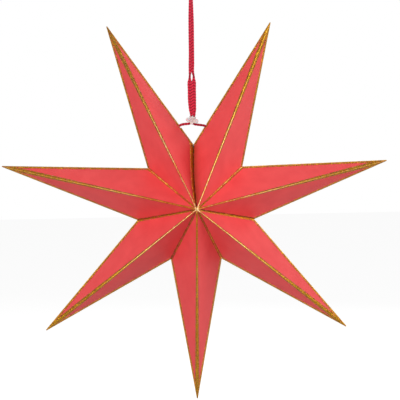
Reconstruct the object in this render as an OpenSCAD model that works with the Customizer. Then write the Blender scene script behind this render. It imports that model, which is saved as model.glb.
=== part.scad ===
// Folded card star with seven hollow spikes, hung from a braided cord loop.
// All lengths are in millimetres and all angles in degrees.
// The origin is the inside top of the hanging loop. Z points up and the front faces -Y.

/* [Star] */
// Distance from the star's middle to the point where the faces of a spike meet
tip_radius = 308.5; // [220:0.5:380]
// Length lost at the end of each spike, where the folded card is blunt
tip_blunt = 2; // [1:0.5:6]
// Distance from the star's middle to each inner corner of the outline
valley_radius = 93; // [60:0.5:120]
// Distance from the mid-plane to the front and back centre points
half_depth = 85; // [40:0.5:120]

/* [Card] */
// Thickness of the card
card = 0.4; // [0.3:0.05:0.8]
// Width of the glue flaps, measured from the fold
flap_width = 16; // [8:0.5:22]
// Length of fold left without a flap next to the front and back centre points
flap_start = 14; // [8:0.5:24]
// Gap between the front and the back flap of one side
flap_slit = 0.8; // [0.4:0.1:3]
// Thickness of the tape between two glued flaps
tape = 0.1; // [0.05:0.05:0.4]
// Width of the open slit between the first and the last spike, at the inner corner
top_slit = 0.7; // [0.4:0.1:4]
// Radius of the small opening where the corners of all spikes meet
centre_opening = 1.2; // [0.8:0.1:3]

/* [Glitter] */
// Thickness of the glitter layer
glitter = 0.4; // [0.2:0.05:0.6]
// Width of the glitter band on each side of a fold
band_width = 3.2; // [1.5:0.1:6]
// Width of the glitter band on each side of a seam between two spikes
seam_width = 2.2; // [1:0.1:6]
// Length of the spike's end that is covered all over
band_tip = 30; // [15:1:60]

/* [Cord holes] */
// Distance of each cord hole from the inner corner, along the side fold
hole_from_valley = 35; // [25:0.5:60]
// Diameter of the cord holes
hole_diameter = 5; // [3.6:0.1:8]

/* [Clip] */
// Length of the clip's bar
clip_length = 19.5; // [17:0.5:30]
// Height of the clip's bar
clip_height = 6.4; // [4:0.1:8]
// Depth of the clip's bar, front to back
clip_depth = 7; // [5.5:0.1:12]
// Height of the collar above the middle of the bar
collar_height = 6; // [5:0.1:12]
// Wall around the two cord holes of the collar
collar_wall = 1.1; // [0.8:0.1:2]
// Distance between the two cord holes of the clip
clip_spacing = 4.2; // [4.2:0.1:7]
// Diameter of each cord hole in the clip
clip_hole = 3.6; // [3.5:0.05:4]
// Length of the front lip below the bar, in front of the two strands
lip_length = 3.2; // [1:0.1:6]
// Width of the front lip
lip_width = 5.4; // [3:0.1:8]
// Diameter of the round boss on the front of the bar
boss_diameter = 5.6; // [3:0.1:6]
// Height of the boss
boss_height = 0.8; // [0.3:0.1:2]
// Height of the boss above the middle of the bar
boss_rise = 1.4; // [0:0.1:2]
// Turn of the clip on the cord, clockwise seen from the front
clip_turn = 10; // [0:1:20]

/* [Hidden] */
$fn = 48;

spikes = 7;
pitch = 360 / spikes;
// Sideways turn of each spike's tip, and of each seam from the top one on, as folded by hand
tip_lean = [2.5, -0.9, -1.6, -0.6, 0.4, 0.5, -0.3];
seam_lean = [2.4, -0.2, -2.2, -1.2, 0.2, 0.8, 0.1, 2.4];
// Place of the star's middle and of the clip's middle below the hanging point
star_place = [1.5, 0, -350];
clip_place = [-1.7, 0, -219.3];
// How far cutting shapes run past the surface that they cut
past = 1;
overrun = 1.06;

card_colour = "#e0555f";
gold_colour = "#c8963c";
cord_colour = "#d01c38";
clip_colour = "#e6dcdc";

// The cord from the knot in the last spike to the knot in the first: x, y, z and radius
cord_route = [
    [-33.8, 0, -235.7, 1.5], [-31.8, 0, -234.3, 1.6], [-30.4, 0, -233.3, 3], [-28.6, 0, -232.1, 4],
    [-27.1, 0, -231, 3], [-26.2, 0, -230.4, 2.1], [-24.8, 0, -229.4, 1.95], [-23.1, 0, -228.3, 1.95],
    [-21.5, 0, -227.1, 1.95], [-19, 0, -225.9, 1.95], [-14.5, 0, -224.9, 1.95], [-10, 0, -224.5, 1.95],
    [-7.4, 0, -224.3, 1.95], [-5.6, 0, -223.9, 1.8], [-4.7, 0, -222.8, 1.65], [-4.2, 0, -221.4, 1.6],
    [-3.8, 0, -218.9, 1.6], [-2.7, 0, -212.7, 1.65], [-2.7, 0, -211.3, 2], [-2.9, 0, -208, 2.15],
    [-3.4, 0, -203, 2.5], [-4, 0, -196, 2.8], [-4.4, 0, -187, 3], [-4.4, 0, -172, 3],
    [-4.3, 0, -159, 2.9], [-4.3, 0, -155.6, 2.1], [-4.1, -0.3, -151, 1.6], [-3.6, -0.6, -145, 2.1],
    [-3.4, -0.9, -133, 2.2], [-2.9, -1, -120, 2.2], [-2.7, -1, -96, 2.2], [-2.5, -1.1, -72, 2.2],
    [-2.2, -1.5, -58, 2.2], [-1.7, -1.9, -45, 2.2], [-1.1, -2.3, -32, 2.2], [-0.8, -3.1, -26, 2.2],
    [-0.5, -5, -20, 2.2], [-0.2, -7.6, -13.5, 2.2], [0, -9, -6.8, 2.2], [0, -7.8, -2.3, 2.2],
    [0, -4.5, 1, 2.2], [0, 0, 2.2, 2.2], [0, 4.5, 1, 2.2], [0, 7.8, -2.3, 2.2],
    [0, 9, -6.8, 2.2], [0.2, 7.6, -13.5, 2.2], [0.4, 5, -20, 2.2], [0.6, 3.1, -26, 2.2],
    [0.7, 2.3, -32, 2.2], [1.1, 1.9, -45, 2.2], [1.4, 1.5, -58, 2.2], [1.6, 1.1, -72, 2.2],
    [1.4, 1, -96, 2.2], [1.2, 1, -120, 2.2], [1, 0.9, -133, 2.2], [0.7, 0.6, -145, 2.1],
    [1.9, 0.3, -151, 1.6], [2, 0, -155.6, 2.2], [1.9, 0, -159, 2.9], [1.8, 0, -172, 3],
    [1.8, 0, -187, 3], [1.8, 0, -196, 2.8], [1.85, 0, -203, 2.5], [1.6, 0, -208, 2.15],
    [1.5, 0, -212, 1.95], [1.45, 0, -213.4, 1.65], [0.4, 0, -219.7, 1.6], [-0.1, 0, -222.3, 1.6],
    [0, 0, -223.9, 1.6], [1, 0, -224.9, 1.65], [2.6, 0, -225.4, 1.75], [4.6, 0, -225.75, 1.8],
    [10, 0, -226.5, 1.8], [14, 0, -227.1, 1.8], [17.6, 0, -227.9, 1.8], [19.4, 0, -228.5, 1.8],
    [20.8, 0, -229.4, 2], [21.6, 0, -230, 3], [23, 0, -231, 4], [24.8, 0, -232.3, 3],
    [26.2, 0, -233.3, 1.6], [28.2, 0, -234.7, 1.5]];
cord_sides = 8;

function unit(v) = v / norm(v);
function turned(a, length) = [length * cos(a), length * sin(a), 0];
// A plane is its unit normal and its distance from the star's middle
function plane(p, q, r) = let (n = unit(cross(q - p, r - p))) [n, n * p];
function moved(face, d) = [face[0], face[1] + d];
function meet(a, b, c) = (a[1] * cross(b[0], c[0]) + b[1] * cross(c[0], a[0])
    + c[1] * cross(a[0], b[0])) / (a[0] * cross(b[0], c[0]));
mid_plane = [[0, 0, 1], 0];

// Directions of spike i and of the seams on both of its sides, i counted from 0, clockwise
function tip_angle(i) = 90 - (i + 0.5) * pitch + tip_lean[i];
function seam_gap(i) = (i == 0 || i == spikes) ? top_slit : tape;
function seam_turn(i) = asin(seam_gap(i) / 2 / valley_radius);
function left_angle(i) = 90 - i * pitch + seam_lean[i] - seam_turn(i);
function right_angle(i) = 90 - (i + 1) * pitch + seam_lean[i + 1] + seam_turn(i + 1);
function seam_plane(a) = [[-sin(a), cos(a), 0], 0];
front_point = [0, 0, half_depth];
function left_face(i) = plane(turned(tip_angle(i), tip_radius),
    turned(left_angle(i), valley_radius), front_point);
function right_face(i) = plane(turned(tip_angle(i), tip_radius), front_point,
    turned(right_angle(i), valley_radius));

// Corners of spike i with its four faces moved out by d: tip, left, right, front and back
function spike_corners(i, d) = let (
    a = moved(left_face(i), d),
    b = moved(right_face(i), d),
    rise = (a[1] / a[0][2] + b[1] / b[0][2]) / 2
) [meet(a, b, mid_plane), meet(a, seam_plane(left_angle(i)), mid_plane),
    meet(b, seam_plane(right_angle(i)), mid_plane), [0, 0, rise], [0, 0, -rise]];

// Solid spike with its four faces moved out by d, stretched from its tip by grow
module wedge(i, d, grow) {
    corners = spike_corners(i, d);
    polyhedron(
        points = [for (p = corners) corners[0] + grow * (p - corners[0])],
        faces = [[0, 3, 1], [0, 2, 3], [0, 1, 4], [0, 4, 2], [3, 4, 1], [3, 2, 4]]);
}

// The same spike, ending bluntly at a distance from the star's middle
module blunt_wedge(i, d, grow, end) {
    difference() {
        wedge(i, d, grow);
        rotate([0, 0, tip_angle(i)])
            translate([end, -tip_radius, -tip_radius])
                cube(2 * tip_radius);
    }
}

// Outline of one flap in its radial plane: distance from the axis and height
fold_length = sqrt(valley_radius * valley_radius + half_depth * half_depth);
function flap_point(along, inward) = [
    (along * valley_radius - inward * half_depth) / fold_length,
    half_depth - (along * half_depth + inward * valley_radius) / fold_length];
function flap_corner(height, inward) = [
    valley_radius * (1 - height / half_depth) - inward * fold_length / half_depth, height];
module flap_outline() {
    polygon([flap_point(flap_start, card / 2), flap_corner(flap_slit / 2, card / 2),
        flap_corner(flap_slit / 2, flap_width), flap_point(flap_start + flap_width, flap_width)]);
}

// Front and back flap of one side, side 0 going clockwise from the plane and -1 the other way
module flaps(a, side) {
    rotate([90, 0, a])
        translate([0, 0, side * card])
            linear_extrude(height = card) {
                flap_outline();
                mirror([0, 1])
                    flap_outline();
            }
}

// Cord hole through a side fold, from the inner corner at angle a towards the tip of spike i
module cord_hole(i, a) {
    corner = turned(a, valley_radius);
    along = unit(turned(tip_angle(i), tip_radius) - corner);
    translate(corner + hole_from_valley * along)
        rotate([0, 0, atan2(along[1], along[0])])
            rotate([90, 0, 0])
                cylinder(d = hole_diameter, h = 2 * hole_diameter, center = true);
}

module cord_holes(i) {
    if (i == 0) {
        cord_hole(i, left_angle(i));
    }
    if (i == spikes - 1) {
        cord_hole(i, right_angle(i));
    }
}

module centre_cut() {
    cylinder(r = centre_opening, h = 3 * half_depth, center = true);
}

// One folded sheet: four faces around a hollow, with glue flaps turned in at both seams
module spike(i) {
    color(card_colour)
        difference() {
            union() {
                difference() {
                    blunt_wedge(i, 0, 1, tip_radius - tip_blunt);
                    wedge(i, -card, overrun);
                }
                flaps(left_angle(i), 0);
                flaps(right_angle(i), -1);
            }
            centre_cut();
            cord_holes(i);
        }
}

// Point in a triangle's corner p, at one distance from the side to q and another from that to r
function inset(p, q, r, from_q, from_r) = let (
    to_q = unit(q - p),
    to_r = unit(r - p)
) p + (to_q * from_r + to_r * from_q) / norm(cross(to_q, to_r));

// Bare area of the face between the tip, the fold corner and the front point
module bare_area(tip, corner, point) {
    n = unit(cross(corner - tip, point - tip));
    ends = [tip + unit(unit(corner - tip) + unit(point - tip)) * band_tip,
        inset(corner, tip, point, band_width, seam_width),
        inset(point, tip, corner, band_width, seam_width)];
    polyhedron(
        points = concat([for (p = ends) p - past * n], [for (p = ends) p + past * n]),
        faces = [[0, 1, 2], [5, 4, 3], [0, 3, 4, 1], [1, 4, 5, 2], [2, 5, 3, 0]]);
}

// Glitter bands along all folds and seams of one spike
module glitter_bands(i) {
    corners = spike_corners(i, 0);
    color(gold_colour)
        difference() {
            blunt_wedge(i, glitter, 1, tip_radius - tip_blunt + glitter);
            blunt_wedge(i, 0, overrun, tip_radius - tip_blunt);
            bare_area(corners[0], corners[1], corners[3]);
            bare_area(corners[0], corners[3], corners[2]);
            bare_area(corners[0], corners[4], corners[1]);
            bare_area(corners[0], corners[2], corners[4]);
            centre_cut();
            cord_holes(i);
        }
}

module placed_star() {
    translate(star_place)
        rotate([90, 0, 0])
            children();
}

// Outline of a bar with round ends
module round_bar(length, width) {
    square([length - width, width], center = true);
    for (side = [-1, 1])
        translate([side * (length - width) / 2, 0])
            circle(d = width);
}

// Plastic clip: a bar and a collar with two cord holes, a front lip and a round boss
collar_length = clip_spacing + clip_hole + 2 * collar_wall;
lip_wall = 1.4;
lip_end = lip_width - 1.6;
boss_side = -1.1;
module lip_outline() {
    bottom = -clip_height / 2 - lip_length;
    polygon([[-lip_width / 2, 0], [-lip_width / 2, bottom + lip_wall], [-lip_end / 2, bottom],
        [lip_end / 2, bottom], [lip_width / 2, bottom + lip_wall], [lip_width / 2, 0]]);
}

module cord_clip() {
    color(clip_colour)
        translate(clip_place)
            rotate([0, clip_turn, 0])
                difference() {
                    union() {
                        rotate([90, 0, 0])
                            translate([0, 0, -clip_depth / 2])
                                linear_extrude(height = clip_depth)
                                    round_bar(clip_length, clip_height);
                        linear_extrude(height = collar_height)
                            round_bar(collar_length, clip_depth);
                        rotate([90, 0, 0])
                            translate([0, 0, clip_depth / 2 - lip_wall])
                                linear_extrude(height = lip_wall)
                                    lip_outline();
                        translate([boss_side, 0, boss_rise])
                            rotate([90, 0, 0])
                                cylinder(d = boss_diameter, h = clip_depth / 2 + boss_height);
                    }
                    for (side = [-1, 1])
                        translate([side * clip_spacing / 2, 0, -clip_height])
                            cylinder(d = clip_hole, h = clip_height + collar_height + past);
                }
}

// Tube swept along the route, one ring at each point, around a direction that the cord never takes
sideways = [1, 0.2, 0];
function along(k) = unit([for (c = [0:2])
    cord_route[min(k + 1, len(cord_route) - 1)][c] - cord_route[max(k - 1, 0)][c]]);
function across(k) = unit(cross(along(k), sideways));
module hanging_cord() {
    rings = [for (k = [0:len(cord_route) - 1]) for (s = [0:cord_sides - 1])
        let (
            p = [cord_route[k][0], cord_route[k][1], cord_route[k][2]],
            u = across(k),
            v = cross(along(k), u),
            a = 360 * s / cord_sides
        ) p + cord_route[k][3] * (cos(a) * u + sin(a) * v)];
    last = (len(cord_route) - 1) * cord_sides;
    color(cord_colour)
        polyhedron(
            points = rings,
            faces = concat(
                [[for (s = [0:cord_sides - 1]) s]],
                [[for (s = [cord_sides - 1:-1:0]) last + s]],
                [for (k = [0:len(cord_route) - 2]) for (s = [0:cord_sides - 1])
                    let (
                        a = k * cord_sides + s,
                        b = k * cord_sides + (s + 1) % cord_sides
                    ) [b, a, a + cord_sides, b + cord_sides]]));
}

placed_star() spike(0);  // spike_1
placed_star() spike(1);  // spike_2
placed_star() spike(2);  // spike_3
placed_star() spike(3);  // spike_4
placed_star() spike(4);  // spike_5
placed_star() spike(5);  // spike_6
placed_star() spike(6);  // spike_7
placed_star() glitter_bands(0);  // glitter_1
placed_star() glitter_bands(1);  // glitter_2
placed_star() glitter_bands(2);  // glitter_3
placed_star() glitter_bands(3);  // glitter_4
placed_star() glitter_bands(4);  // glitter_5
placed_star() glitter_bands(5);  // glitter_6
placed_star() glitter_bands(6);  // glitter_7
cord_clip();
hanging_cord();
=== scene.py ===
import math
import random

import bmesh
import bpy
import numpy as np
from mathutils import Matrix, Vector


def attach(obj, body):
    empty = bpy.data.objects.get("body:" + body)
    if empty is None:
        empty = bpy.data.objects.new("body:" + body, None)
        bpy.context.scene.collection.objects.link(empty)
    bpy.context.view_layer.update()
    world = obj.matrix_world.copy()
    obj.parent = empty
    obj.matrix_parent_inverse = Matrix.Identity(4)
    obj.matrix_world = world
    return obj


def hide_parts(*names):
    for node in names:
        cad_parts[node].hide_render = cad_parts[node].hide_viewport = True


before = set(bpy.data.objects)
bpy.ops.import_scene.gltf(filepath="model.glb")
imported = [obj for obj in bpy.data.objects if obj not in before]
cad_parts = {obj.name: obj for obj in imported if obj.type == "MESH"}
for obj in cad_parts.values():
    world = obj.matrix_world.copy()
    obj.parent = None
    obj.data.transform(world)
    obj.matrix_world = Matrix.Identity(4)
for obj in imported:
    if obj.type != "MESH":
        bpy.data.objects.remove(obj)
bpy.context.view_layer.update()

# The viewpoint: the star hangs at eye level, seen from a little above and a little to its left.
# The lens is long and the picture is shifted slightly, so that the star sits where it should.
star_middle = Vector((0.0015, 0.0, -0.350))
view_distance = 2.135
view_turn, view_rise, view_roll = math.radians(-1.08), math.radians(4.77), math.radians(1.07)
picture_width_at_star = 0.6209
picture_pixels, shift_across, shift_up = 400, 4.22, 4.68
toward_viewer = Vector((
    math.sin(view_turn) * math.cos(view_rise),
    -math.cos(view_turn) * math.cos(view_rise),
    math.sin(view_rise),
))
level = Vector((math.cos(view_turn), math.sin(view_turn), 0.0))
upright = toward_viewer.cross(level)
picture_right = math.cos(view_roll) * level - math.sin(view_roll) * upright
picture_up = math.sin(view_roll) * level + math.cos(view_roll) * upright
camera = bpy.data.objects.new("camera", bpy.data.cameras.new("camera"))
bpy.context.collection.objects.link(camera)
camera.data.sensor_width = 36.0
camera.data.lens = camera.data.sensor_width * view_distance / picture_width_at_star
camera.data.shift_x = shift_across / picture_pixels
camera.data.shift_y = shift_up / picture_pixels
camera.data.clip_end = 50.0
turn = Matrix((picture_right, picture_up, toward_viewer)).transposed().to_4x4()
camera.matrix_world = Matrix.Translation(star_middle + view_distance * toward_viewer) @ turn
bpy.context.scene.camera = camera


# The hanging cord: one soft red cord, plaited round from polyester yarn. It is knotted inside
# the last spike, runs out of its fold, up through the clip, makes the hanging loop and comes
# back down into the first spike. Each row is a point and the radius there, in millimetres.
cord_route_mm = [
    (-33.8, 0, -235.7, 1.5), (-31.8, 0, -234.3, 1.6), (-30.4, 0, -233.3, 3), (-28.6, 0, -232.1, 4),
    (-27.1, 0, -231, 3), (-26.2, 0, -230.4, 2.1), (-24.8, 0, -229.4, 1.95), (-23.1, 0, -228.3, 1.95),
    (-21.5, 0, -227.1, 1.95), (-19, 0, -225.9, 1.95), (-14.5, 0, -224.9, 1.95), (-10, 0, -224.5, 1.95),
    (-7.4, 0, -224.3, 1.95), (-5.6, 0, -223.9, 1.8), (-4.7, 0, -222.8, 1.65), (-4.2, 0, -221.4, 1.6),
    (-3.8, 0, -218.9, 1.6), (-2.7, 0, -212.7, 1.65), (-2.7, 0, -211.3, 2), (-2.9, 0, -208, 2.15),
    (-3.4, 0, -203, 2.5), (-4, 0, -196, 2.8), (-4.4, 0, -187, 3), (-4.4, 0, -172, 3),
    (-4.3, 0, -159, 2.9), (-4.3, 0, -155.6, 2.1), (-4.1, -0.3, -151, 1.6), (-3.6, -0.6, -145, 2.1),
    (-3.4, -0.9, -133, 2.2), (-2.9, -1, -120, 2.2), (-2.7, -1, -96, 2.2), (-2.5, -1.1, -72, 2.2),
    (-2.2, -1.5, -58, 2.2), (-1.7, -1.9, -45, 2.2), (-1.1, -2.3, -32, 2.2), (-0.8, -3.1, -26, 2.2),
    (-0.5, -5, -20, 2.2), (-0.2, -7.6, -13.5, 2.2), (0, -9, -6.8, 2.2), (0, -7.8, -2.3, 2.2),
    (0, -4.5, 1, 2.2), (0, 0, 2.2, 2.2), (0, 4.5, 1, 2.2), (0, 7.8, -2.3, 2.2),
    (0, 9, -6.8, 2.2), (0.2, 7.6, -13.5, 2.2), (0.4, 5, -20, 2.2), (0.6, 3.1, -26, 2.2),
    (0.7, 2.3, -32, 2.2), (1.1, 1.9, -45, 2.2), (1.4, 1.5, -58, 2.2), (1.6, 1.1, -72, 2.2),
    (1.4, 1, -96, 2.2), (1.2, 1, -120, 2.2), (1, 0.9, -133, 2.2), (0.7, 0.6, -145, 2.1),
    (1.9, 0.3, -151, 1.6), (2, 0, -155.6, 2.2), (1.9, 0, -159, 2.9), (1.8, 0, -172, 3),
    (1.8, 0, -187, 3), (1.8, 0, -196, 2.8), (1.85, 0, -203, 2.5), (1.6, 0, -208, 2.15),
    (1.5, 0, -212, 1.95), (1.45, 0, -213.4, 1.65), (0.4, 0, -219.7, 1.6), (-0.1, 0, -222.3, 1.6),
    (0, 0, -223.9, 1.6), (1, 0, -224.9, 1.65), (2.6, 0, -225.4, 1.75), (4.6, 0, -225.75, 1.8),
    (10, 0, -226.5, 1.8), (14, 0, -227.1, 1.8), (17.6, 0, -227.9, 1.8), (19.4, 0, -228.5, 1.8),
    (20.8, 0, -229.4, 2), (21.6, 0, -230, 3), (23, 0, -231, 4), (24.8, 0, -232.3, 3),
    (26.2, 0, -233.3, 1.6), (28.2, 0, -234.7, 1.5),
]
MM = 0.001
cord_stitch, cord_columns, lobe_lean = 4.4 * MM, 4, 0.7
cord_step, cord_sides = 0.36 * MM, 48
lobe_low, lobe_rise = 0.92, 0.18
# Where the plait is slack it swells beyond its radius, and most of all just above the clip.
# Where it is thinner than the given radius it is coloured darker, as painted shade.
slack_radius, slack_fade, slack_swell = 2.3, 0.5, 0.1
bulge_height, bulge_reach, bulge_swell = -205, 6, 0.16
thin_shade_radius, thin_shade_fade = 2.05, 0.2


def linear(hex_colour):
    """sRGB hex colour as linear red, green, blue and alpha."""
    values = [int(hex_colour[i:i + 2], 16) / 255 for i in (1, 3, 5)]
    return [v / 12.92 if v <= 0.04045 else ((v + 0.055) / 1.055) ** 2.4 for v in values] + [1.0]


def add_node(tree, kind, settings=None, inputs=None, links=None):
    """Adds one node with its settings, its socket values and the links into it."""
    node = tree.nodes.new(kind)
    for name, value in (settings or {}).items():
        setattr(node, name, value)
    for name, value in (inputs or {}).items():
        node.inputs[name].default_value = value
    for name, source in (links or {}).items():
        tree.links.new(source, node.inputs[name])
    return node


def empty_material(name):
    """A material with only its output node, and its node tree."""
    material = bpy.data.materials.new(name)
    material.use_nodes = True
    tree = material.node_tree
    tree.nodes.clear()
    return material, tree, tree.nodes.new("ShaderNodeOutputMaterial")


def place_mesh(name, points, faces, smooth=True, attributes=None):
    """A new object from points in metres, with a float attribute per point for each name."""
    mesh = bpy.data.meshes.new(name)
    mesh.from_pydata([tuple(map(float, p)) for p in points], [], [tuple(map(int, f)) for f in faces])
    for key, values in (attributes or {}).items():
        layer = mesh.attributes.new(key, "FLOAT", "POINT")
        layer.data.foreach_set("value", np.asarray(values, np.float32))
    mesh.polygons.foreach_set("use_smooth", [smooth] * len(mesh.polygons))
    mesh.update()
    piece = bpy.data.objects.new(name, mesh)
    bpy.context.collection.objects.link(piece)
    return piece


def smooth_route(rows, step):
    """Even points on a smooth curve through the route, each with its radius."""
    rows = np.array(rows, float) * MM
    gaps = np.linalg.norm(np.diff(rows[:, :3], axis=0), axis=1)[:, None]
    slopes = np.diff(rows, axis=0) / gaps
    inner = (slopes[:-1] * gaps[1:] + slopes[1:] * gaps[:-1]) / (gaps[:-1] + gaps[1:])
    headings = np.vstack([slopes[:1], inner, slopes[-1:]])
    t = np.arange(0, 1, 0.02)[None, :, None]
    a, b = rows[:-1, None], rows[1:, None]
    leave, arrive = (headings[:-1] * gaps)[:, None], (headings[1:] * gaps)[:, None]
    fine = (a * (2 * t ** 3 - 3 * t ** 2 + 1) + leave * (t ** 3 - 2 * t ** 2 + t)
            + b * (3 * t ** 2 - 2 * t ** 3) + arrive * (t ** 3 - t ** 2))
    fine = np.vstack([fine.reshape(-1, 4), rows[-1:]])
    run = np.concatenate([[0], np.cumsum(np.linalg.norm(np.diff(fine[:, :3], axis=0), axis=1))])
    even = np.linspace(0, run[-1], int(run[-1] / step) + 1)
    return np.stack([np.interp(even, run, fine[:, i]) for i in range(4)], axis=1), even


def plaited_tube(name, centre, run):
    """The cord's skin: columns of slanted lobes of yarn that lean left and right in turn, in Vs."""
    line, radius = centre[:, :3], centre[:, 3]
    ahead = np.gradient(line, axis=0)
    ahead /= np.linalg.norm(ahead, axis=1)[:, None]
    side = np.zeros_like(line)
    side[0] = np.cross(ahead[0], (0.0, 1.0, 0.0))
    for i in range(1, len(line)):
        side[i] = side[i - 1] - ahead[i] * (side[i - 1] @ ahead[i])
        side[i] /= np.linalg.norm(side[i])
    over = np.cross(ahead, side)
    angle = np.arange(cord_sides) / cord_sides
    column = angle * cord_columns
    across = column % 1.0
    lean = np.where(np.floor(column) % 2 == 0, lobe_lean, -lobe_lean) * (across - 0.5)
    along = (run[:, None] / cord_stitch + lean[None, :]) % 1.0
    pillow = (1 - (2 * along - 1) ** 2) * (1 - 0.7 * (2 * across[None, :] - 1) ** 4)
    fuller = (1 + slack_swell * np.clip((radius / MM - slack_radius) / slack_fade, 0, 1)
              + bulge_swell * np.exp(-((line[:, 2] / MM - bulge_height) / bulge_reach) ** 2))
    reach = (radius * fuller)[:, None] * (lobe_low + lobe_rise * pillow)
    # Painted shade mask: 1 where the cord is thinner than the given radius.
    thin_strand_shade = np.clip((thin_shade_radius - radius / MM) / thin_shade_fade, 0, 1)[:, None] + 0 * pillow
    turn_by = 2 * math.pi * angle
    round_about = (np.cos(turn_by)[None, :, None] * side[:, None, :]
                   + np.sin(turn_by)[None, :, None] * over[:, None, :])
    points = line[:, None, :] + reach[:, :, None] * round_about
    rings, n = len(line), cord_sides
    faces = [(i * n + j, i * n + (j + 1) % n, (i + 1) * n + (j + 1) % n, (i + 1) * n + j)
             for i in range(rings - 1) for j in range(n)]
    faces += [tuple(range(n - 1, -1, -1)), tuple((rings - 1) * n + j for j in range(n))]
    # The yarn attribute is the lobes' rise, which the material uses as the mask for painted shade in
    # the creases.
    return place_mesh(name, points.reshape(-1, 3), faces,
                      attributes={"yarn": pillow.ravel(), "thin_strand_shade": thin_strand_shade.ravel()})


cord_line, cord_run = smooth_route(cord_route_mm, cord_step)
cord = plaited_tube("hanging_cord_plait", cord_line, cord_run)

# Dyed polyester yarn, plaited: a saturated red with painted shade in the creases between the lobes and
# lighter crowns, more painted shade where the cord is thin, a fine fibre grain and a soft sheen at the
# edges.
yarn_material, tree, out = empty_material("plaited_polyester_yarn")
place = add_node(tree, "ShaderNodeTexCoord").outputs["Object"]
crease_shade_mask = add_node(tree, "ShaderNodeAttribute", {"attribute_name": "yarn"}).outputs["Fac"]
fibre = add_node(tree, "ShaderNodeTexNoise", inputs={"Scale": 1 / (0.5 * MM), "Detail": 4.0},
                 links={"Vector": place}).outputs["Fac"]
# Painted shade: the ramp colours the creases between the lobes dark and their crowns light.
yarn_colour_with_crease_shade = add_node(tree, "ShaderNodeValToRGB", links={"Fac": crease_shade_mask})
ramp = yarn_colour_with_crease_shade.color_ramp
ramp.elements[0].position, ramp.elements[0].color = 0.15, linear("#7c0014")
ramp.elements[1].position, ramp.elements[1].color = 0.85, linear("#f2304e")
# Painted shade where the cord is thin: its colour goes towards a dark red.
thin_shade_in = add_node(tree, "ShaderNodeAttribute", {"attribute_name": "thin_strand_shade"}).outputs["Fac"]
thin_shade_share = add_node(tree, "ShaderNodeMath", {"operation": "MULTIPLY"}, {1: 0.75}, {0: thin_shade_in})
thin_shade_colour = add_node(tree, "ShaderNodeMix", {"data_type": "RGBA"}, {7: linear("#94001c")},
                        {0: thin_shade_share.outputs["Value"], 6: yarn_colour_with_crease_shade.outputs["Color"]}).outputs[2]
fibre_tint = add_node(tree, "ShaderNodeMix", {"data_type": "RGBA", "blend_type": "MULTIPLY"},
                      {0: 0.3}, {6: thin_shade_colour, 7: fibre}).outputs[2]
yarn_bump = add_node(tree, "ShaderNodeBump", inputs={"Strength": 0.5, "Distance": 0.15 * MM},
                     links={"Height": fibre})
yarn = add_node(tree, "ShaderNodeBsdfPrincipled",
                inputs={"Roughness": 0.8, "Sheen Weight": 0.35, "Sheen Roughness": 0.4,
                        "Specular IOR Level": 0.25},
                links={"Base Color": fibre_tint, "Normal": yarn_bump.outputs["Normal"]})
tree.links.new(yarn.outputs["BSDF"], out.inputs["Surface"])
cord.data.materials.append(yarn_material)
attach(cord, "root")
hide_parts("hanging_cord")


# The clip: a small moulded slider of milky translucent plastic, with a bar, a collar around the
# two cord legs, a lip in front of the strands below and a round boss. The cord's own
# thickness holds it in place.
clip_middle = Vector((-1.7, 0.0, -219.3)) * MM
clip_turn = math.radians(10)
clip_length, clip_height, clip_depth = 19.5, 6.4, 7.0
collar_height, collar_length, collar_depth = 6.0, 10.0, 7.0
clip_spacing, clip_hole = 4.2, 3.6
lip_width, lip_end, lip_length, lip_wall = 5.4, 3.8, 3.2, 1.4
boss_diameter, boss_height, boss_side, boss_rise = 5.6, 0.8, -1.1, 1.4
collar_sink, bore_reach, dimple_diameter, dimple_reach, voxel = 1.0, 9.0, 2.6, 2.0, 0.28


def prism(mesh, outline, low, high, upright_axis):
    """Adds a closed prism to mesh: outline in two axes, from low to high along the third."""
    def spot(a, b, c):
        return (a, c, b) if upright_axis == "y" else (a, b, c)
    base = [mesh.verts.new(spot(a, b, low)) for a, b in outline]
    cap = [mesh.verts.new(spot(a, b, high)) for a, b in outline]
    n = len(outline)
    mesh.faces.new(base)
    mesh.faces.new(cap[::-1])
    for i in range(n):
        mesh.faces.new((base[i], cap[i], cap[(i + 1) % n], base[(i + 1) % n]))


def round_bar(length, width, sides=24):
    """Outline of a bar with round ends."""
    ends = [(side, math.pi * (k / sides - side / 2)) for side in (1, -1) for k in range(sides + 1)]
    return [(side * ((length - width) / 2 + width / 2 * abs(math.cos(a))), width / 2 * math.sin(a))
            for side, a in ends]


def circle(x, y, diameter, sides=32):
    """Outline of a circle."""
    return [(x + diameter / 2 * math.cos(2 * math.pi * k / sides),
             y + diameter / 2 * math.sin(2 * math.pi * k / sides)) for k in range(sides)]


def solid(name, build):
    """A scratch object in millimetres from a function that fills a mesh."""
    mesh = bmesh.new()
    build(mesh)
    bmesh.ops.recalc_face_normals(mesh, faces=mesh.faces)
    data = bpy.data.meshes.new(name)
    mesh.to_mesh(data)
    mesh.free()
    piece = bpy.data.objects.new(name, data)
    bpy.context.collection.objects.link(piece)
    return piece


def apply_modifiers(piece):
    """Replaces a piece's mesh by what its modifiers make of it."""
    shape = bpy.data.meshes.new_from_object(
        piece.evaluated_get(bpy.context.evaluated_depsgraph_get()))
    piece.modifiers.clear()
    piece.data = shape


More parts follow.
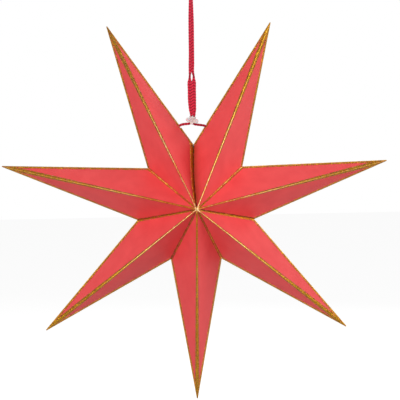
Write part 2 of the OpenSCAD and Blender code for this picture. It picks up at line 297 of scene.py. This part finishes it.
clip = solid("clip_moulding", lambda m: prism(
    m, round_bar(clip_length, clip_height), -clip_depth / 2, clip_depth / 2, "y"))
collar = solid("clip_collar", lambda m: prism(
    m, round_bar(collar_length, collar_depth), -collar_sink, collar_height, "z"))
lip_bottom = -clip_height / 2 - lip_length
lip_outline = [(-lip_width / 2, 0), (-lip_width / 2, lip_bottom + lip_wall), (-lip_end / 2, lip_bottom),
               (lip_end / 2, lip_bottom), (lip_width / 2, lip_bottom + lip_wall), (lip_width / 2, 0)]
lip = solid("clip_lip", lambda m: prism(
    m, lip_outline, -clip_depth / 2, -clip_depth / 2 + lip_wall, "y"))
boss = solid("clip_boss", lambda m: prism(
    m, circle(boss_side, boss_rise, boss_diameter), -clip_depth / 2 - boss_height, 0.0, "y"))
bores = solid("clip_bores", lambda m: [
    prism(m, circle(side * clip_spacing / 2, 0, clip_hole), -bore_reach, bore_reach, "z")
    for side in (-1, 1)])
dimple = solid("clip_dimple", lambda m: prism(
    m, circle(boss_side, boss_rise, dimple_diameter), -clip_depth / 2 - dimple_reach,
    -clip_depth / 2, "y"))
for other, operation in ((collar, "UNION"), (lip, "UNION"), (boss, "UNION"), (bores, "DIFFERENCE"),
                         (dimple, "DIFFERENCE")):
    cut = clip.modifiers.new("join", "BOOLEAN")
    cut.operation, cut.object, cut.solver = operation, other, "EXACT"
apply_modifiers(clip)
for other in (collar, lip, boss, bores, dimple):
    bpy.data.objects.remove(other)
remesh = clip.modifiers.new("remesh", "REMESH")
remesh.mode, remesh.voxel_size = "VOXEL", voxel
soften = clip.modifiers.new("soften", "SMOOTH")
soften.factor, soften.iterations = 0.5, 5
apply_modifiers(clip)
clip.data.transform(
    Matrix.Translation(clip_middle) @ Matrix.Rotation(clip_turn, 4, "Y") @ Matrix.Scale(MM, 4))
clip.data.polygons.foreach_set("use_smooth", [True] * len(clip.data.polygons))

# Injection moulded polypropylene: milky, lets some light through, satin surface, with a faint
# cloudiness inside.
clip_material, tree, out = empty_material("moulded_polypropylene")
place = add_node(tree, "ShaderNodeTexCoord").outputs["Object"]
cloud = add_node(tree, "ShaderNodeTexNoise", inputs={"Scale": 1 / (3 * MM), "Detail": 2.0},
                 links={"Vector": place})
clip_colour = add_node(tree, "ShaderNodeValToRGB", links={"Fac": cloud.outputs["Fac"]})
ramp = clip_colour.color_ramp
ramp.elements[0].position, ramp.elements[0].color = 0.3, linear("#cbb6b4")
ramp.elements[1].position, ramp.elements[1].color = 0.7, linear("#dfd1cf")
clip_bump = add_node(tree, "ShaderNodeBump", inputs={"Strength": 0.2, "Distance": 0.1 * MM},
                     links={"Height": cloud.outputs["Fac"]})
milky = add_node(tree, "ShaderNodeBsdfPrincipled",
                 inputs={"Roughness": 0.35, "IOR": 1.49, "Transmission Weight": 0.15,
                         "Subsurface Weight": 0.4, "Subsurface Scale": 2 * MM},
                 links={"Base Color": clip_colour.outputs["Color"],
                        "Normal": clip_bump.outputs["Normal"]})
tree.links.new(milky.outputs["BSDF"], out.inputs["Surface"])
clip.data.materials.append(clip_material)
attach(clip, "root")
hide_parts("cord_clip")


# The seven spikes: each is one sheet of matt dyed card, scored and folded into a hollow spike
# with four long faces, and glued to its neighbours by flaps turned in at its open base.
tip_radius, tip_blunt, valley_radius, half_depth = 308.5, 2.0, 93.0, 85.0
card, tape, top_slit = 0.4, 0.1, 0.2
flap_width, flap_start, flap_slit = 16.0, 14.0, 0.8
spikes = 7
pitch = 360 / spikes
# How far each tip and each seam is turned from an even seventh, in degrees anticlockwise
tip_lean = [2.5, -0.9, -1.6, -0.6, 0.4, 0.5, -0.3]
seam_lean = [1.1, -0.2, -2.2, -1.2, 0.2, 0.8, 0.1, 1.1]
# The open seam: how far it bows aside, how far that reaches into the faces, how wide the painted shade
# on the card beside it is, and how far each of the two spikes' faces dips there
seam_bow, seam_reach, seam_shade_width = 2.2, 12.0, 6.0
seam_dip = {0: 7.0, 6: 4.0}
# How much of each tip is worn off, in millimetres
tip_wear = [3.6, 2.8, 3.0, 1.5, 2.0, 1.6, 0.3]
hole_from_valley, hole_diameter = 35.0, 5.0
face_steps, length_steps = 14, 60


def turned(degrees, length):
    """Point of the mid-plane at an angle and a distance from the star's middle."""
    a = math.radians(degrees)
    return np.array([length * math.cos(a), length * math.sin(a), 0.0])


def face_plane(p, q, r):
    """A plane through three points: its outward normal and its distance."""
    normal = np.cross(q - p, r - p)
    normal /= np.linalg.norm(normal)
    return normal, float(normal @ p)


def meet(*planes):
    """The point where three planes meet."""
    return np.linalg.solve(np.array([p[0] for p in planes]), np.array([p[1] for p in planes]))


def seam_gap(i):
    """Width of seam i: only the top one is open."""
    return top_slit if i in (0, spikes) else tape


def side_angles(i):
    """Directions of the two seams beside spike i, each half a gap inside the seam."""
    turn_in = [math.degrees(math.asin(seam_gap(k) / 2 / valley_radius)) for k in (i, i + 1)]
    return (90 - i * pitch + seam_lean[i] - turn_in[0],
            90 - (i + 1) * pitch + seam_lean[i + 1] + turn_in[1])


def spike_corners(i, shift):
    """Tip, left and right inner corner, front and back point, with the faces moved out by shift."""
    left, right = side_angles(i)
    tip = turned(90 - (i + 0.5) * pitch + tip_lean[i], tip_radius - tip_wear[i])
    point = np.array([0.0, 0.0, half_depth])
    a = face_plane(tip, turned(left, valley_radius), point)
    b = face_plane(tip, point, turned(right, valley_radius))
    a, b = (a[0], a[1] + shift), (b[0], b[1] + shift)
    middle = (np.array([0.0, 0.0, 1.0]), 0.0)
    seams = [(np.array([-math.sin(math.radians(s)), math.cos(math.radians(s)), 0.0]), 0.0)
             for s in (left, right)]
    rise = (a[1] / a[0][2] + b[1] / b[0][2]) / 2
    return [meet(a, b, middle), meet(a, seams[0], middle), meet(b, seams[1], middle),
            np.array([0.0, 0.0, rise]), np.array([0.0, 0.0, -rise])]


def hang(points):
    """Points of the star, lying flat in millimetres, moved to where it hangs, in metres."""
    points = np.asarray(points, float).reshape(-1, 3)
    return np.stack([points[:, 0], -points[:, 2], points[:, 1]], axis=1) * MM + np.array(star_middle)


def sway(i, points):
    """The open seam between the two end spikes bows to the left, and their faces turn into it."""
    if i not in (0, spikes - 1):
        return points
    seam = math.radians(90 + seam_lean[0])
    outward = np.array([math.cos(seam), math.sin(seam), 0.0])
    sideways = np.array([-math.sin(seam), math.cos(seam), 0.0])
    out_share = np.clip(points @ outward / valley_radius, 0, 1)
    share = np.sin(math.pi * out_share)
    near = np.exp(-(points @ sideways / (seam_reach * np.clip(1.6 * out_share, 0.02, 1))) ** 2)
    bend = (seam_bow * share * near)[:, None] * sideways[None, :]
    dip = np.clip(seam_dip[i] * share * near, 0, 0.4 * np.abs(points[:, 2])) * np.sign(points[:, 2])
    return points + bend - dip[:, None] * np.array([[0.0, 0.0, 1.0]])


# How much each of the four faces of a spike bulges (+) or sinks (-), front left, front right,
# back left, back right, in millimetres
face_bow = [(0.8, 0.6, 0.7, 0.5), (0.6, 0.9, 0.5, 0.7), (0.9, 0.5, 0.6, 0.8), (0.5, 0.8, 0.7, 0.6),
            (0.7, 0.6, 0.8, 0.5), (0.8, 0.5, 0.6, 0.9), (0.6, 0.8, 0.5, 0.7)]


def face_points(corners, which, across, along, bow):
    """Points on one face: across from the side fold (0) to the ridge (1), along from base to tip."""
    tip, fold, ridge = corners[0], corners[1 + which % 2], corners[3 + which // 2]
    base = fold[None, :] * (1 - across)[:, None] + ridge[None, :] * across[:, None]
    points = base * (1 - along)[:, None] + tip[None, :] * along[:, None]
    normal = np.cross(ridge - fold, tip - fold)
    normal /= np.linalg.norm(normal)
    if normal @ (fold + ridge) < 0:
        normal = -normal
    swell = bow * np.sin(math.pi * across) * np.sin(math.pi * np.clip(along, 0, 1)) ** 0.8
    return points + swell[:, None] * normal[None, :]


def flap_shape(angle, side, fold_end):
    """One flap as a thin plate: its outline in the seam's plane, thickened inwards."""
    fold_length = math.hypot(valley_radius, half_depth)

    def point(along, inward):
        return ((along * valley_radius - inward * half_depth) / fold_length,
                half_depth - (along * half_depth + inward * valley_radius) / fold_length)

    def corner(height, inward):
        return (valley_radius * (1 - height / half_depth) - inward * fold_length / half_depth, height)
    outline = [point(flap_start, card / 2), corner(flap_slit / 2, card / 2),
               corner(flap_slit / 2, flap_width), point(flap_start + flap_width, flap_width)]
    a = math.radians(angle)
    out_dir = np.array([math.cos(a), math.sin(a), 0.0])
    in_dir = np.array([math.sin(a), -math.cos(a), 0.0]) * side
    steps = 12
    rows = []
    for depth in (0.0, card):
        for k in range(steps + 1):
            for w in range(3):
                u0, z0 = np.array(outline[0]) * (1 - k / steps) + np.array(outline[1]) * (k / steps)
                u1, z1 = np.array(outline[3]) * (1 - k / steps) + np.array(outline[2]) * (k / steps)
                u, z = u0 * (1 - w / 2) + u1 * w / 2, z0 * (1 - w / 2) + z1 * w / 2
                rows.append(out_dir * u + np.array([0, 0, z * fold_end]) + in_dir * depth)
    faces, layer = [], (steps + 1) * 3
    for k in range(steps):
        for w in range(2):
            a0, b0 = k * 3 + w, k * 3 + w + 1
            c0, d0 = b0 + 3, a0 + 3
            faces += [(a0, b0, c0, d0), (d0 + layer, c0 + layer, b0 + layer, a0 + layer)]
    rim = [k * 3 for k in range(steps + 1)] + [steps * 3 + 1, steps * 3 + 2]
    rim += [k * 3 + 2 for k in range(steps - 1, -1, -1)] + [1]
    for p, q in zip(rim, rim[1:] + rim[:1]):
        faces.append((p, p + layer, q + layer, q))
    return rows, faces


def card_spike(i):
    """The folded sheet of spike i: outside, inside, blunt tip, open base and flaps."""
    ring = [(0, k / face_steps) for k in range(face_steps)]
    ring += [(1, 1 - k / face_steps) for k in range(face_steps)]
    ring += [(3, k / face_steps) for k in range(face_steps)]
    ring += [(2, 1 - k / face_steps) for k in range(face_steps)]
    points, faces, n = [], [], len(ring)
    for layer, shift in enumerate((0.0, -card)):
        corners = spike_corners(i, shift)
        stop = 1 - (tip_blunt / (tip_radius - valley_radius) if layer == 0 else 0.002)
        for k in range(length_steps + 1):
            t = stop * (k / length_steps) ** 1.4
            for which, u in ring:
                bow = face_bow[i][which]
                points.append(face_points(corners, which, np.array([u]), np.array([t]), bow)[0])
        start = layer * (length_steps + 1) * n
        for k in range(length_steps):
            for j in range(n):
                a, b = start + k * n + j, start + k * n + (j + 1) % n
                quad = (a, b, b + n, a + n)
                faces.append(quad if layer == 0 else quad[::-1])
        end = start + length_steps * n
        cap = tuple(end + j for j in range(n))
        faces.append(cap if layer == 0 else cap[::-1])
    inside = (length_steps + 1) * n
    for j in range(n):
        a, b = j, (j + 1) % n
        faces.append((b, a, inside + a, inside + b))
    for angle, side in zip(side_angles(i), (1, -1)):
        for fold_end in (1, -1):
            rows, plate = flap_shape(angle, side, fold_end)
            first = len(points)
            points += rows
            faces += [tuple(first + v for v in f) for f in plate]
    points = np.array(points)
    seam = math.radians(90 + seam_lean[0])
    off_seam = np.abs(points @ np.array([-math.sin(seam), math.cos(seam), 0.0]))
    # Painted shade: a mask for a darker, browner red on the card beside the open seam, on the two end
    # spikes.
    seam_painted_shade = np.exp(-(off_seam / seam_shade_width) ** 2) * np.clip(points[:, 1] / 12.0, 0, 1) * (i in seam_dip)
    piece = place_mesh(f"card_spike_{i + 1}", hang(sway(i, points)), faces,
                       attributes={"seam_painted_shade": seam_painted_shade})
    tidy = bmesh.new()
    tidy.from_mesh(piece.data)
    bmesh.ops.recalc_face_normals(tidy, faces=tidy.faces)
    for edge in tidy.edges:
        edge.smooth = edge.calc_face_angle(0) < math.radians(20)
    tidy.to_mesh(piece.data)
    tidy.free()
    return piece


# Dyed matt card, calendered lightly: an even warm red with a fine felt grain, a faint unevenness of the
# dye, and painted shade: a darker, browner red on the card beside the open seam.
card_material, tree, out = empty_material("dyed_matt_card")
place = add_node(tree, "ShaderNodeTexCoord").outputs["Object"]
grain = add_node(tree, "ShaderNodeTexNoise",
                 inputs={"Scale": 1 / (0.9 * MM), "Detail": 6.0, "Roughness": 0.65},
                 links={"Vector": place})
dye = add_node(tree, "ShaderNodeTexNoise", inputs={"Scale": 1 / (22 * MM), "Detail": 3.0},
               links={"Vector": place})
dye_colour = add_node(tree, "ShaderNodeValToRGB", links={"Fac": dye.outputs["Fac"]})
ramp = dye_colour.color_ramp
ramp.elements[0].position, ramp.elements[0].color = 0.3, linear("#e64244")
ramp.elements[1].position, ramp.elements[1].color = 0.7, linear("#ee4b4c")
grain_tint = add_node(tree, "ShaderNodeMix", {"data_type": "RGBA", "blend_type": "MULTIPLY"},
                      {0: 0.10}, {6: dye_colour.outputs["Color"], 7: grain.outputs["Fac"]}).outputs[2]
# Painted shade beside the open seam: the card's colour goes towards a dark brown red.
seam_shade_in = add_node(tree, "ShaderNodeAttribute", {"attribute_name": "seam_painted_shade"}).outputs["Fac"]
seam_shade_share = add_node(tree, "ShaderNodeMath", {"operation": "MULTIPLY"}, {1: 0.8}, {0: seam_shade_in})
seam_shade_tint = add_node(tree, "ShaderNodeMix", {"data_type": "RGBA"}, {7: linear("#a02c10")},
                       {0: seam_shade_share.outputs["Value"], 6: grain_tint}).outputs[2]
card_bump = add_node(tree, "ShaderNodeBump", inputs={"Strength": 0.25, "Distance": 0.08 * MM},
                     links={"Height": grain.outputs["Fac"]})
card_surface = add_node(tree, "ShaderNodeBsdfPrincipled",
                        inputs={"Roughness": 0.6, "Specular IOR Level": 0.5},
                        links={"Base Color": seam_shade_tint, "Normal": card_bump.outputs["Normal"]})
tree.links.new(card_surface.outputs["BSDF"], out.inputs["Surface"])


def cut_cord_hole(piece, i, angle):
    """Cuts the round hole for the cord through a side fold of a spike."""
    corner = turned(angle, valley_radius)
    ahead = turned(90 - (i + 0.5) * pitch + tip_lean[i], tip_radius) - corner
    ahead /= np.linalg.norm(ahead)
    middle = corner + hole_from_valley * ahead
    across = np.array([-ahead[1], ahead[0], 0.0])
    n = 24
    rows = [middle + end * hole_diameter * across + u * ahead + np.array([0.0, 0.0, v])
            for end in (-1, 1) for u, v in circle(0, 0, hole_diameter, n)]
    faces = [tuple(range(n)), tuple(range(2 * n - 1, n - 1, -1))]
    faces += [(k, k + n, (k + 1) % n + n, (k + 1) % n) for k in range(n)]
    drill = place_mesh("cord_hole_drill", hang(rows), faces)
    shape = bmesh.new()
    shape.from_mesh(drill.data)
    bmesh.ops.recalc_face_normals(shape, faces=shape.faces)
    shape.to_mesh(drill.data)
    shape.free()
    cut = piece.modifiers.new("cord_hole", "BOOLEAN")
    cut.operation, cut.object, cut.solver = "DIFFERENCE", drill, "EXACT"
    apply_modifiers(piece)
    bpy.data.objects.remove(drill)


cord_holes = {0: side_angles(0)[0], spikes - 1: side_angles(spikes - 1)[1]}
for i in range(spikes):
    sheet = card_spike(i)
    if i in cord_holes:
        cut_cord_hole(sheet, i, cord_holes[i])
    sheet.data.materials.append(card_material)
    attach(sheet, "root")
    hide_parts(f"spike_{i + 1}")


# The glitter: gold glitter glue drawn by hand along every fold and seam. It is a thin raised
# bead of flakes, a little uneven in width, and it covers the ends of the spikes all over.
glitter, flake, bead_rows, uneven_by = 0.4, 1.0, 4, 0.25
fold_width, ridge_width, tip_fold_width, tip_ridge_width = 4.6, 2.0, 5.0, 5.4
# The bead's width on each spike beside its first and its second seam, and how light its flank is
# painted, as painted shade
seam_sides = [((1.6, 0.24), (2.2, 0.3)), ((3.6, 0.35), (3.4, 0.05)), ((3.6, 0.6), (3.6, 0.35)),
              ((2.6, 0.35), (3.4, 0.35)), ((2.6, 0.25), (3.6, 0.5)), ((2.6, 0.2), (2.8, 0.5)),
              ((2.8, 0.5), (8.0, 0.5))]
# How light the flakes are painted, from about 0 to 1, as painted light and shade: on each spike's two
# side folds, on its ridge near the star's middle and further out, and on each seam, counted from the
# top one on
fold_painted_light = [(0.95, 0.4), (0.85, 0.5), (0.95, 0.55), (0.6, 0.75), (0.6, 0.95), (0.5, 0.65),
              (0.65, 0.65)]
ridge_painted_light = [1.05, 1.0, 1.0, 0.6, 1.05, 0.95, 1.25]
outer_ridge_painted_light = [0.8, 0.8, 0.45, 0.4, 0.5, 0.8, 0.45]
seam_painted_light = [0.0, 1.15, 0.75, 0.85, 0.5, 0.5, 1.0, 0.0]
# The painted highlight along the crest of each fold and its width, the painted shade on the flanks
# beside it, the tips, and the painted highlight at the star's middle
highlight_core_width, fold_flank_shade, ridge_flank_shade, tip_shine = 1.7, 0.4, 0.28, 0.38
heart_painted_highlight, heart_reach = 0.9, 1.4
# Where the outer part of a spike and its tip begin, as shares of its length, and how fast they fade in,
# and how much a seam's painted light drops, as painted shade, on the inner half of its way to the
# middle
outer_from, outer_fade, tip_from, tip_fade = 0.35, 0.4, 0.9, 0.05
seam_shade_drop, drop_from, drop_fade = 0.5, 0.5, 0.3
# How much of the card the flakes cover along the folds, ridges and seams, and at the tips
fold_cover, ridge_cover, tip_cover = 0.95, 1.0, 0.95
seam_cover = [0.95, 0.85, 0.95, 0.75, 0.7, 0.85, 0.7, 0.95]
chance = random.Random(7)


def inset(p, q, r, from_q, from_r):
    """The point inside corner p of a triangle at set distances from its sides to q and to r."""
    to_q, to_r = (q - p) / np.linalg.norm(q - p), (r - p) / np.linalg.norm(r - p)
    return p + (to_q * from_r + to_r * from_q) / np.linalg.norm(np.cross(to_q, to_r))


def glitter_band(i):
    """The raised bead on all folds of spike i, as a closed skin of small rough facets."""
    outer, lower = spike_corners(i, glitter), spike_corners(i, 0.0)
    stop = tip_radius - tip_wear[i] - tip_blunt + glitter
    points, faces, flake_tone_and_painted_light, cover = [], [], [], []
    for which in range(4):
        top = [outer[0], outer[1 + which % 2], outer[3 + which // 2]]
        base = [lower[0], lower[1 + which % 2], lower[3 + which // 2]]
        seam_wide, seam_flank_shade = seam_sides[i][which % 2]
        bare = [inset(base[0], base[1], base[2], tip_fold_width, tip_ridge_width),
                inset(base[1], base[0], base[2], fold_width, seam_wide),
                inset(base[2], base[0], base[1], ridge_width, 0.7 * seam_wide)]
        edge_painted_light = [fold_painted_light[i][which % 2], seam_painted_light[i + which % 2], ridge_painted_light[i]]
        outer_painted_light = [0.8 * edge_painted_light[0], edge_painted_light[1], outer_ridge_painted_light[i]]
        edge_flank_shade = [fold_flank_shade, seam_flank_shade, ridge_flank_shade]
        edge_cover = [fold_cover, seam_cover[i + which % 2], ridge_cover]
        normal = np.cross(base[1] - base[0], base[2] - base[0])
        normal /= np.linalg.norm(normal)
        if normal @ (base[1] + base[2]) < 0:
            normal = -normal
        bow = face_bow[i][which]
        to_local = np.linalg.inv(np.stack([base[1] - base[0], base[2] - base[0], normal], axis=1))
        for e in range(3):
            f = (e + 1) % 3
            long_way = max(2, int(np.linalg.norm(top[f] - top[e]) / flake))
            fold_way = (base[f] - base[e]) / np.linalg.norm(base[f] - base[e])
            first = len(points)
            wobble = [chance.uniform(-uneven_by, uneven_by) for _ in range(long_way + 1)]
            for a in range(long_way + 1):
                s = a / long_way
                fold_top = top[e] * (1 - s) + top[f] * s
                fold_low = base[e] * (1 - s) + base[f] * s
                bare_edge = bare[e] * (1 - s) + bare[f] * s
                inner_way = bare_edge - fold_low
                spread = np.linalg.norm(inner_way)
                uneven = wobble[a] * math.sin(math.pi * s) ** 0.3 if 0 < a < long_way else 0.0
                bare_edge = bare_edge + inner_way / max(spread, 1e-6) * uneven
                for b in range(bead_rows + 1):
                    w = b / bead_rows
                    low = fold_low * (1 - w) + bare_edge * w
                    local = to_local @ (low - base[0])
                    rim = float(np.clip(local[0] + local[1], 1e-6, 1))
                    across, along = float(np.clip(local[1] / rim, 0, 1)), 1 - rim
                    swell = (bow * math.sin(math.pi * across)
                             * math.sin(math.pi * min(max(along, 0), 1)) ** 0.8)
                    lift = glitter * (1 - w ** 6)
                    inside = 0 < b < bead_rows and 0 < a < long_way
                    rough = chance.uniform(-0.14, 0.10) if inside else 0.0
                    rise = lift * (1 - (1 - w) ** 3) + rough
                    high = (fold_top - fold_low) * (1 - w) ** 3 + normal * rise
                    points.append(low + high + normal * swell)
                    points.append(low + normal * (swell + 0.01))
                    tip_share = min(1.0, max(0.0, along - tip_from) / tip_fade)
                    off_fold = np.linalg.norm(np.cross(low - base[e], fold_way))
                    far_out = min(1.0, max(0.0, along - outer_from) / outer_fade)
                    # Painted highlight along the bead's crest at the fold, and painted shade on its
                    # flanks.
                    flank = min(1.0, off_fold / (highlight_core_width * (1 - 0.4 * far_out)))
                    # Painted light and shade: each fold, ridge and seam gets its own painted level,
                    # lighter where light falls and darker in the seams and towards the middle.
                    core = edge_painted_light[e] + (outer_painted_light[e] - edge_painted_light[e]) * far_out
                    if e == 1:
                        core *= 1 - seam_shade_drop * min(1.0, max(0.0, s - drop_from) / drop_fade)
                    bright = core + (edge_flank_shade[e] + 0.1 * far_out - core) * flank
                    tip_bright = max(tip_shine, core * (1 - 2 * flank))
                    # Painted highlight at the star's middle, where the ridges meet.
                    off_heart = np.linalg.norm(fold_low - base[2])
                    heart_highlight = heart_painted_highlight * math.exp(-(off_heart / heart_reach) ** 2)
                    flake_tone_and_painted_light += [bright + (tip_bright - bright) * tip_share + heart_highlight] * 2
                    sparse = edge_cover[e] * (1 - 0.4 * w ** 2)
                    cover += [sparse + (tip_cover - sparse) * tip_share] * 2
            row = 2 * (bead_rows + 1)
            for a in range(long_way):
                for b in range(bead_rows):
                    p = first + a * row + 2 * b
                    faces.append((p, p + 2, p + 2 + row, p + row))
                    faces.append((p + 1, p + 1 + row, p + 3 + row, p + 3))
                for q in (first + a * row, first + a * row + 2 * bead_rows):
                    faces.append((q, q + 1, q + 1 + row, q + row))
    points = np.array(points)
    angle = math.radians(90 - (i + 0.5) * pitch + tip_lean[i])
    outward = np.array([math.cos(angle), math.sin(angle), 0.0])
    beyond = np.clip(points @ outward - stop, 0, None)
    points -= beyond[:, None] * outward[None, :]
    piece = place_mesh(f"glitter_band_{i + 1}", hang(sway(i, points)), faces,
                       attributes={"flake_tone_and_painted_light": flake_tone_and_painted_light, "cover": cover})
    tidy = bmesh.new()
    tidy.from_mesh(piece.data)
    bmesh.ops.remove_doubles(tidy, verts=tidy.verts, dist=0.00002)
    bmesh.ops.recalc_face_normals(tidy, faces=tidy.faces)
    tidy.to_mesh(piece.data)
    tidy.free()
    return piece


# Polyester glitter flakes in clear glue: each flake is a tiny metallic mirror at its own angle,
# gold with orange and olive ones among them, and red card between them where they lie thin.
# Real flakes are about 0.4 mm across; they are drawn larger so that single ones still show.
drawn_flake = 1.1 * MM
glitter_material, tree, out = empty_material("gold_polyester_glitter")
place = add_node(tree, "ShaderNodeTexCoord").outputs["Object"]
flakes = add_node(tree, "ShaderNodeTexVoronoi", {"feature": "F1"},
                  {"Scale": 1 / drawn_flake, "Randomness": 1.0}, {"Vector": place})
parts = add_node(tree, "ShaderNodeSeparateColor", links={"Color": flakes.outputs["Color"]})
painted_light_in = add_node(tree, "ShaderNodeAttribute", {"attribute_name": "flake_tone_and_painted_light"}).outputs["Fac"]
spot = add_node(tree, "ShaderNodeMath", {"operation": "MULTIPLY_ADD"}, {1: 0.34, 2: -0.17},
                {0: parts.outputs["Red"]})
level_in = add_node(tree, "ShaderNodeMath", {"operation": "ADD"},
                    links={0: painted_light_in, 1: spot.outputs["Value"]})
# Painted light and shade: with the painted level, the flakes' colour runs from a shaded dark brown to a
# highlit pale gold; the random part is the flakes' own tone.
flake_colour = add_node(tree, "ShaderNodeValToRGB", links={"Fac": level_in.outputs["Value"]})
ramp = flake_colour.color_ramp
ramp.elements[0].position, ramp.elements[0].color = 0.0, linear("#5a2400")
ramp.elements[1].position, ramp.elements[1].color = 1.0, linear("#ffe6b8")
for position, colour in ((0.4, "#9c6e00"), (0.7, "#e0a020"), (0.9, "#fcc660")):
    ramp.elements.new(position).color = linear(colour)
covered = add_node(tree, "ShaderNodeAttribute", {"attribute_name": "cover"}).outputs["Fac"]
is_flake = add_node(tree, "ShaderNodeMath", {"operation": "LESS_THAN"},
                    links={0: parts.outputs["Blue"], 1: covered}).outputs["Value"]
glued_colour = add_node(tree, "ShaderNodeMix", {"data_type": "RGBA"}, {6: linear("#c8323a")},
                        {0: is_flake, 7: flake_colour.outputs["Color"]}).outputs[2]
flake_share = add_node(tree, "ShaderNodeMath", {"operation": "MULTIPLY"}, {1: 0.9}, {0: is_flake})
normal_in = add_node(tree, "ShaderNodeNewGeometry").outputs["Normal"]
lean_of_flake = add_node(tree, "ShaderNodeVectorMath", {"operation": "SUBTRACT"}, {1: (0.5, 0.5, 0.5)},
                         {0: flakes.outputs["Color"]})
tilt = add_node(tree, "ShaderNodeVectorMath", {"operation": "SCALE"},
                links={0: lean_of_flake.outputs["Vector"], "Scale": flake_share.outputs["Value"]})
tilted = add_node(tree, "ShaderNodeVectorMath", {"operation": "ADD"},
                  links={0: normal_in, 1: tilt.outputs["Vector"]})
flake_normal = add_node(tree, "ShaderNodeVectorMath", {"operation": "NORMALIZE"},
                        links={0: tilted.outputs["Vector"]})
flakes_surface = add_node(tree, "ShaderNodeBsdfPrincipled", inputs={"Roughness": 0.38},
                          links={"Base Color": glued_colour, "Metallic": flake_share.outputs["Value"],
                                 "Normal": flake_normal.outputs["Vector"]})
tree.links.new(flakes_surface.outputs["BSDF"], out.inputs["Surface"])
for i in range(spikes):
    band = glitter_band(i)
    if i in cord_holes:
        cut_cord_hole(band, i, cord_holes[i])
    band.data.materials.append(glitter_material)
    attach(band, "root")
    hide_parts(f"glitter_{i + 1}")


# The room: a plain pale floor well below the star, three soft lights in front, at the right
# and behind, and a white surround, which gives less light than it shows.
def seen_directly(tree):
    """1 for what the eye sees straight, in a gloss or through clear plastic, and 0 for lighting."""
    path = add_node(tree, "ShaderNodeLightPath")
    either = add_node(tree, "ShaderNodeMath", {"operation": "MAXIMUM"},
                      links={0: path.outputs["Is Camera Ray"], 1: path.outputs["Is Glossy Ray"]})
    seen = add_node(tree, "ShaderNodeMath", {"operation": "MAXIMUM"},
                    links={0: either.outputs["Value"], 1: path.outputs["Is Transmission Ray"]})
    return seen.outputs["Value"]


floor_level, floor_glow, surround_level = -1.1, 0.82, 0.34
pure_white = linear("#ffffff")
floor = place_mesh("floor", [(-6, -4, 0), (6, -4, 0), (6, 8, 0), (-6, 8, 0)], [(0, 1, 2, 3)])
floor.location.z = floor_level
floor_material, tree, out = empty_material("white_painted_floor")
in_view = seen_directly(tree)
matt = add_node(tree, "ShaderNodeBsdfDiffuse", inputs={"Color": linear("#a8a8a8")})
glow = add_node(tree, "ShaderNodeEmission", inputs={"Color": pure_white, "Strength": floor_glow})
paint = add_node(tree, "ShaderNodeAddShader",
                 links={0: matt.outputs["BSDF"], 1: glow.outputs["Emission"]})
bounce = add_node(tree, "ShaderNodeEmission",
                  inputs={"Color": pure_white, "Strength": surround_level})
both = add_node(tree, "ShaderNodeMixShader",
                links={0: in_view, 1: bounce.outputs["Emission"], 2: paint.outputs["Shader"]})
tree.links.new(both.outputs["Shader"], out.inputs["Surface"])
floor.data.materials.append(floor_material)

world = bpy.data.worlds.new("surround")
bpy.context.scene.world = world
world.use_nodes = True
tree = world.node_tree
tree.nodes.clear()
out = tree.nodes.new("ShaderNodeOutputWorld")
ambient = add_node(tree, "ShaderNodeBackground",
                   inputs={"Color": pure_white, "Strength": surround_level})
white = add_node(tree, "ShaderNodeBackground", inputs={"Color": pure_white, "Strength": 1.0})
pick = add_node(tree, "ShaderNodeMixShader",
                links={0: seen_directly(tree), 1: ambient.outputs["Background"],
                       2: white.outputs["Background"]})
tree.links.new(pick.outputs["Shader"], out.inputs["Surface"])


def softbox(name, spot, size, power):
    """A square soft light that faces the star's middle and isn't seen itself."""
    lamp = bpy.data.lights.new(name, "AREA")
    lamp.shape, lamp.size, lamp.energy = "SQUARE", size, power
    holder = bpy.data.objects.new(name, lamp)
    bpy.context.collection.objects.link(holder)
    holder.visible_camera = False
    holder.location = spot
    holder.rotation_euler = (star_middle - Vector(spot)).to_track_quat("-Z", "Y").to_euler()


softbox("key_light", (-0.8, -3.0, 0.5), 1.8, 81.0)
softbox("side_light", (2.45, -0.66, 0.15), 1.6, 27.0)
softbox("back_light", (0.8, 2.7, 1.0), 1.8, 30.0)

bpy.context.scene.view_settings.view_transform = "Standard"
